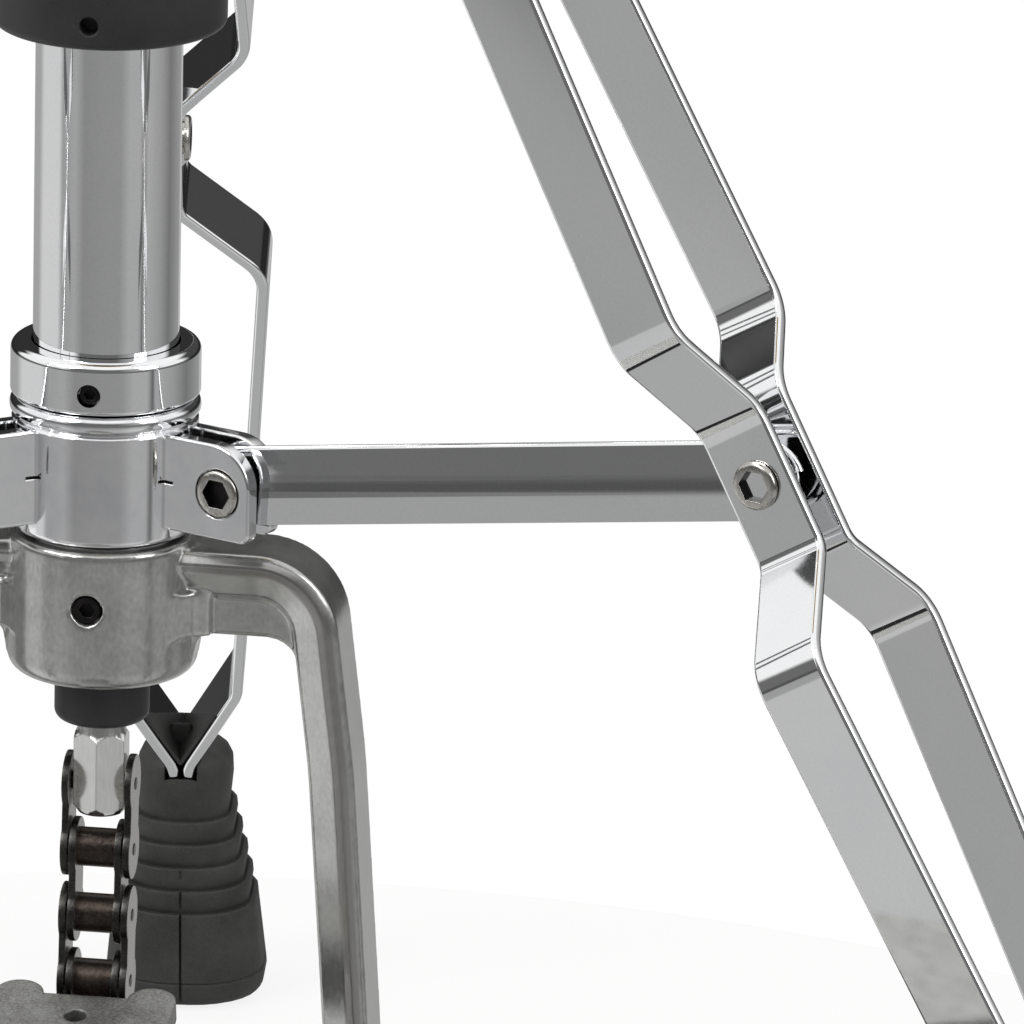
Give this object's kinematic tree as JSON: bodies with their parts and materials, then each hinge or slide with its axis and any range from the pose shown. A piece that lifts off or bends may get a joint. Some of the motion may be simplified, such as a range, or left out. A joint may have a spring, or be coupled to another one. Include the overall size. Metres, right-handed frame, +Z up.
{
  "type": "hi hat",
  "caption": "Hi-hat on a folding tripod stand: a foot pedal pulls a chain and a rod that brings the upper cymbal down on the lower one.",
  "frame": {"origin": "on the floor, under the axis of the tube, on the underside of the base plate", "axes": "+Z up along the tube, -Y from the tube to the heel of the pedal, +X to the player's right when facing the stand from the heel"},
  "size_m": [0.494, 0.5874, 1],
  "materials": {
    "chrome": "polished chrome plate",
    "cast_aluminium": "raw casting, lightly blasted",
    "dark_steel": "oiled black oxide",
    "bright_steel": "satin nickel plate",
    "black_plastic": "moulded, satin",
    "rubber": "moulded, matt",
    "black_paint": "black powder coat",
    "bronze": "lathed cymbal bronze",
    "felt": "pressed wool felt"
  },
  "bodies": {
    "stand": {"base_plate": "black_paint", "heel_block": "cast_aluminium", "heel_pin": "bright_steel", "yoke_frame": "cast_aluminium", "yoke_set_screw": "black_paint", "lower_tube": "chrome", "guide_bush": "black_plastic", "stop_ring": "chrome", "stop_ring_screw": "black_paint", "spring_seat": "bright_steel", "tube_clamp": "chrome", "tube_clamp_bush": "black_plastic"},
    "pedal": {"footboard": "cast_aluminium", "toe_clamp": "dark_steel"},
    "pull_rod": {"pull_rod_lower": "bright_steel", "pull_rod_upper": "bright_steel", "rod_flange": "bright_steel", "rod_connector": "bright_steel", "return_spring": "bright_steel"},
    "chain": {"chain_outer_link_1": "dark_steel", "chain_inner_link_1": "dark_steel", "chain_outer_link_2": "dark_steel", "chain_inner_link_2": "dark_steel"},
    "dial": {"tension_dial": "black_plastic"},
    "clamp_bolt": {"tube_clamp_wing_bolt": "chrome"},
    "swivel": {"strut_collar": "chrome", "lug_bolt_right": "bright_steel", "lug_bolt_back": "bright_steel", "lug_bolt_left": "bright_steel"},
    "leg_slide": {"leg_collar": "chrome", "leg_pin_right": "bright_steel", "leg_pin_back": "bright_steel", "leg_pin_left": "bright_steel"},
    "leg_screw": {"leg_collar_wing_screw": "chrome"},
    "strut_right": {"strut_right": "chrome"},
    "leg_right": {"leg_strip_right_a": "chrome", "leg_strip_right_b": "chrome", "pivot_bolt_right": "bright_steel", "rubber_foot_right": "rubber"},
    "strut_back": {"strut_back": "chrome"},
    "leg_back": {"leg_strip_back_a": "chrome", "leg_strip_back_b": "chrome", "pivot_bolt_back": "bright_steel", "rubber_foot_back": "rubber"},
    "strut_left": {"strut_left": "chrome"},
    "leg_left": {"leg_strip_left_a": "chrome", "leg_strip_left_b": "chrome", "pivot_bolt_left": "bright_steel", "rubber_foot_left": "rubber"},
    "mast": {"upper_tube": "chrome", "seat_cup": "black_plastic", "seat_felt": "felt"},
    "tilt": {"tilt_screw": "bright_steel"},
    "lower_cymbal": {"bottom_cymbal": "bronze"},
    "clutch": {"clutch_body": "chrome", "clutch_upper_felt": "felt", "clutch_lower_felt": "felt", "clutch_nut": "chrome"},
    "clutch_lock": {"clutch_screw": "chrome"},
    "upper_cymbal": {"top_cymbal": "bronze"}
  },
  "joints": [
    {"name": "rod_pull", "type": "slide", "parent": "stand", "child": "pull_rod", "axis": [0, 0, -1], "range_m": [0, 0.0316], "stiffness_N_per_m": 800, "springref_m": -0.035, "deforming": ["return_spring"]},
    {"name": "pedal_press", "type": "hinge", "parent": "stand", "child": "pedal", "pos_m": [0, -0.262, 0.024], "axis": [-1, 0, 0], "range_deg": [0, 7]},
    {"name": "chain_swing", "type": "hinge", "parent": "pull_rod", "child": "chain", "pos_m": [0, 0, 0.1292], "axis": [1, 0, 0], "range_deg": [0, 5.37]},
    {"name": "dial_turn", "type": "hinge", "parent": "stand", "child": "dial", "pos_m": [0, 0, 0.2932], "axis": [0, 0, 1], "range_deg": [-180, 180]},
    {"name": "clamp_bolt_turn", "type": "hinge", "parent": "stand", "child": "clamp_bolt", "pos_m": [0.025, 0, 0.6024], "axis": [1, 0, 0], "range_deg": [-180, 180]},
    {"name": "tripod_swivel", "type": "hinge", "parent": "stand", "child": "swivel", "pos_m": [0, 0, 0.1926], "axis": [0, 0, 1], "range_deg": [-15, 15]},
    {"name": "legs_fold", "type": "slide", "parent": "swivel", "child": "leg_slide", "axis": [0, 0, 1], "range_m": [0, 0.116]},
    {"name": "leg_screw_turn", "type": "hinge", "parent": "leg_slide", "child": "leg_screw", "pos_m": [-0.02287, 0.0101, 0.40647], "axis": [-0.9147, 0.4042, 0], "range_deg": [-180, 180]},
    {"name": "strut_swing_right", "type": "hinge", "parent": "swivel", "child": "strut_right", "pos_m": [0.0268, -0.01184, 0.1926], "axis": [-0.4042, -0.9147, 0], "range_deg": [0, 58.9]},
    {"name": "leg_swing_right", "type": "hinge", "parent": "leg_slide", "child": "leg_right", "pos_m": [0.0268, -0.01184, 0.40647], "axis": [0.4042, 0.9147, 0], "range_deg": [0, 20.45]},
    {"name": "strut_swing_back", "type": "hinge", "parent": "swivel", "child": "strut_back", "pos_m": [-0.00314, 0.02913, 0.1926], "axis": [0.9942, 0.1073, 0], "range_deg": [0, 58.9]},
    {"name": "leg_swing_back", "type": "hinge", "parent": "leg_slide", "child": "leg_back", "pos_m": [-0.00314, 0.02913, 0.40647], "axis": [-0.9942, -0.1073, 0], "range_deg": [0, 20.45]},
    {"name": "strut_swing_left", "type": "hinge", "parent": "swivel", "child": "strut_left", "pos_m": [-0.02366, -0.01729, 0.1926], "axis": [-0.59, 0.8074, 0], "range_deg": [0, 58.9]},
    {"name": "leg_swing_left", "type": "hinge", "parent": "leg_slide", "child": "leg_left", "pos_m": [-0.02366, -0.01729, 0.40647], "axis": [0.59, -0.8074, 0], "range_deg": [0, 20.45]},
    {"name": "height_adjust", "type": "slide", "parent": "stand", "child": "mast", "axis": [0, 0, 1], "range_m": [-0.07, 0.04]},
    {"name": "tilt_screw_turn", "type": "hinge", "parent": "mast", "child": "tilt", "pos_m": [0.0179, 0, 0.8063], "axis": [0, 0, 1], "range_deg": [-180, 180]},
    {"name": "bottom_cymbal_spin", "type": "hinge", "parent": "mast", "child": "lower_cymbal", "pos_m": [0, 0, 0.8189], "axis": [0, 0, 1], "continuous": true},
    {"name": "clutch_slide", "type": "slide", "parent": "pull_rod", "child": "clutch", "axis": [0, 0, 1], "range_m": [-0.07, 0.04]},
    {"name": "clutch_screw_turn", "type": "hinge", "parent": "clutch", "child": "clutch_lock", "pos_m": [0.011, 0, 0.94544], "axis": [1, 0, 0], "range_deg": [-180, 180]},
    {"name": "top_cymbal_spin", "type": "hinge", "parent": "clutch", "child": "upper_cymbal", "pos_m": [0, 0, 0.92684], "axis": [0, 0, 1], "continuous": true}
  ],
  "couplings": [
    {"joint": "pedal_press", "follows": "rod_pull", "rad_per_m": 3.8544},
    {"joint": "chain_swing", "follows": "rod_pull", "rad_per_m": 2.9429},
    {"joint": "strut_swing_right", "follows": "legs_fold", "rad_per_m": 8.8612},
    {"joint": "leg_swing_right", "follows": "legs_fold", "rad_per_m": 3.0751},
    {"joint": "strut_swing_back", "follows": "legs_fold", "rad_per_m": 8.8612},
    {"joint": "leg_swing_back", "follows": "legs_fold", "rad_per_m": 3.0751},
    {"joint": "strut_swing_left", "follows": "legs_fold", "rad_per_m": 8.8612},
    {"joint": "leg_swing_left", "follows": "legs_fold", "rad_per_m": 3.0751},
    {"joint": "clutch_slide", "follows": "height_adjust", "ratio": 1}
  ]
}
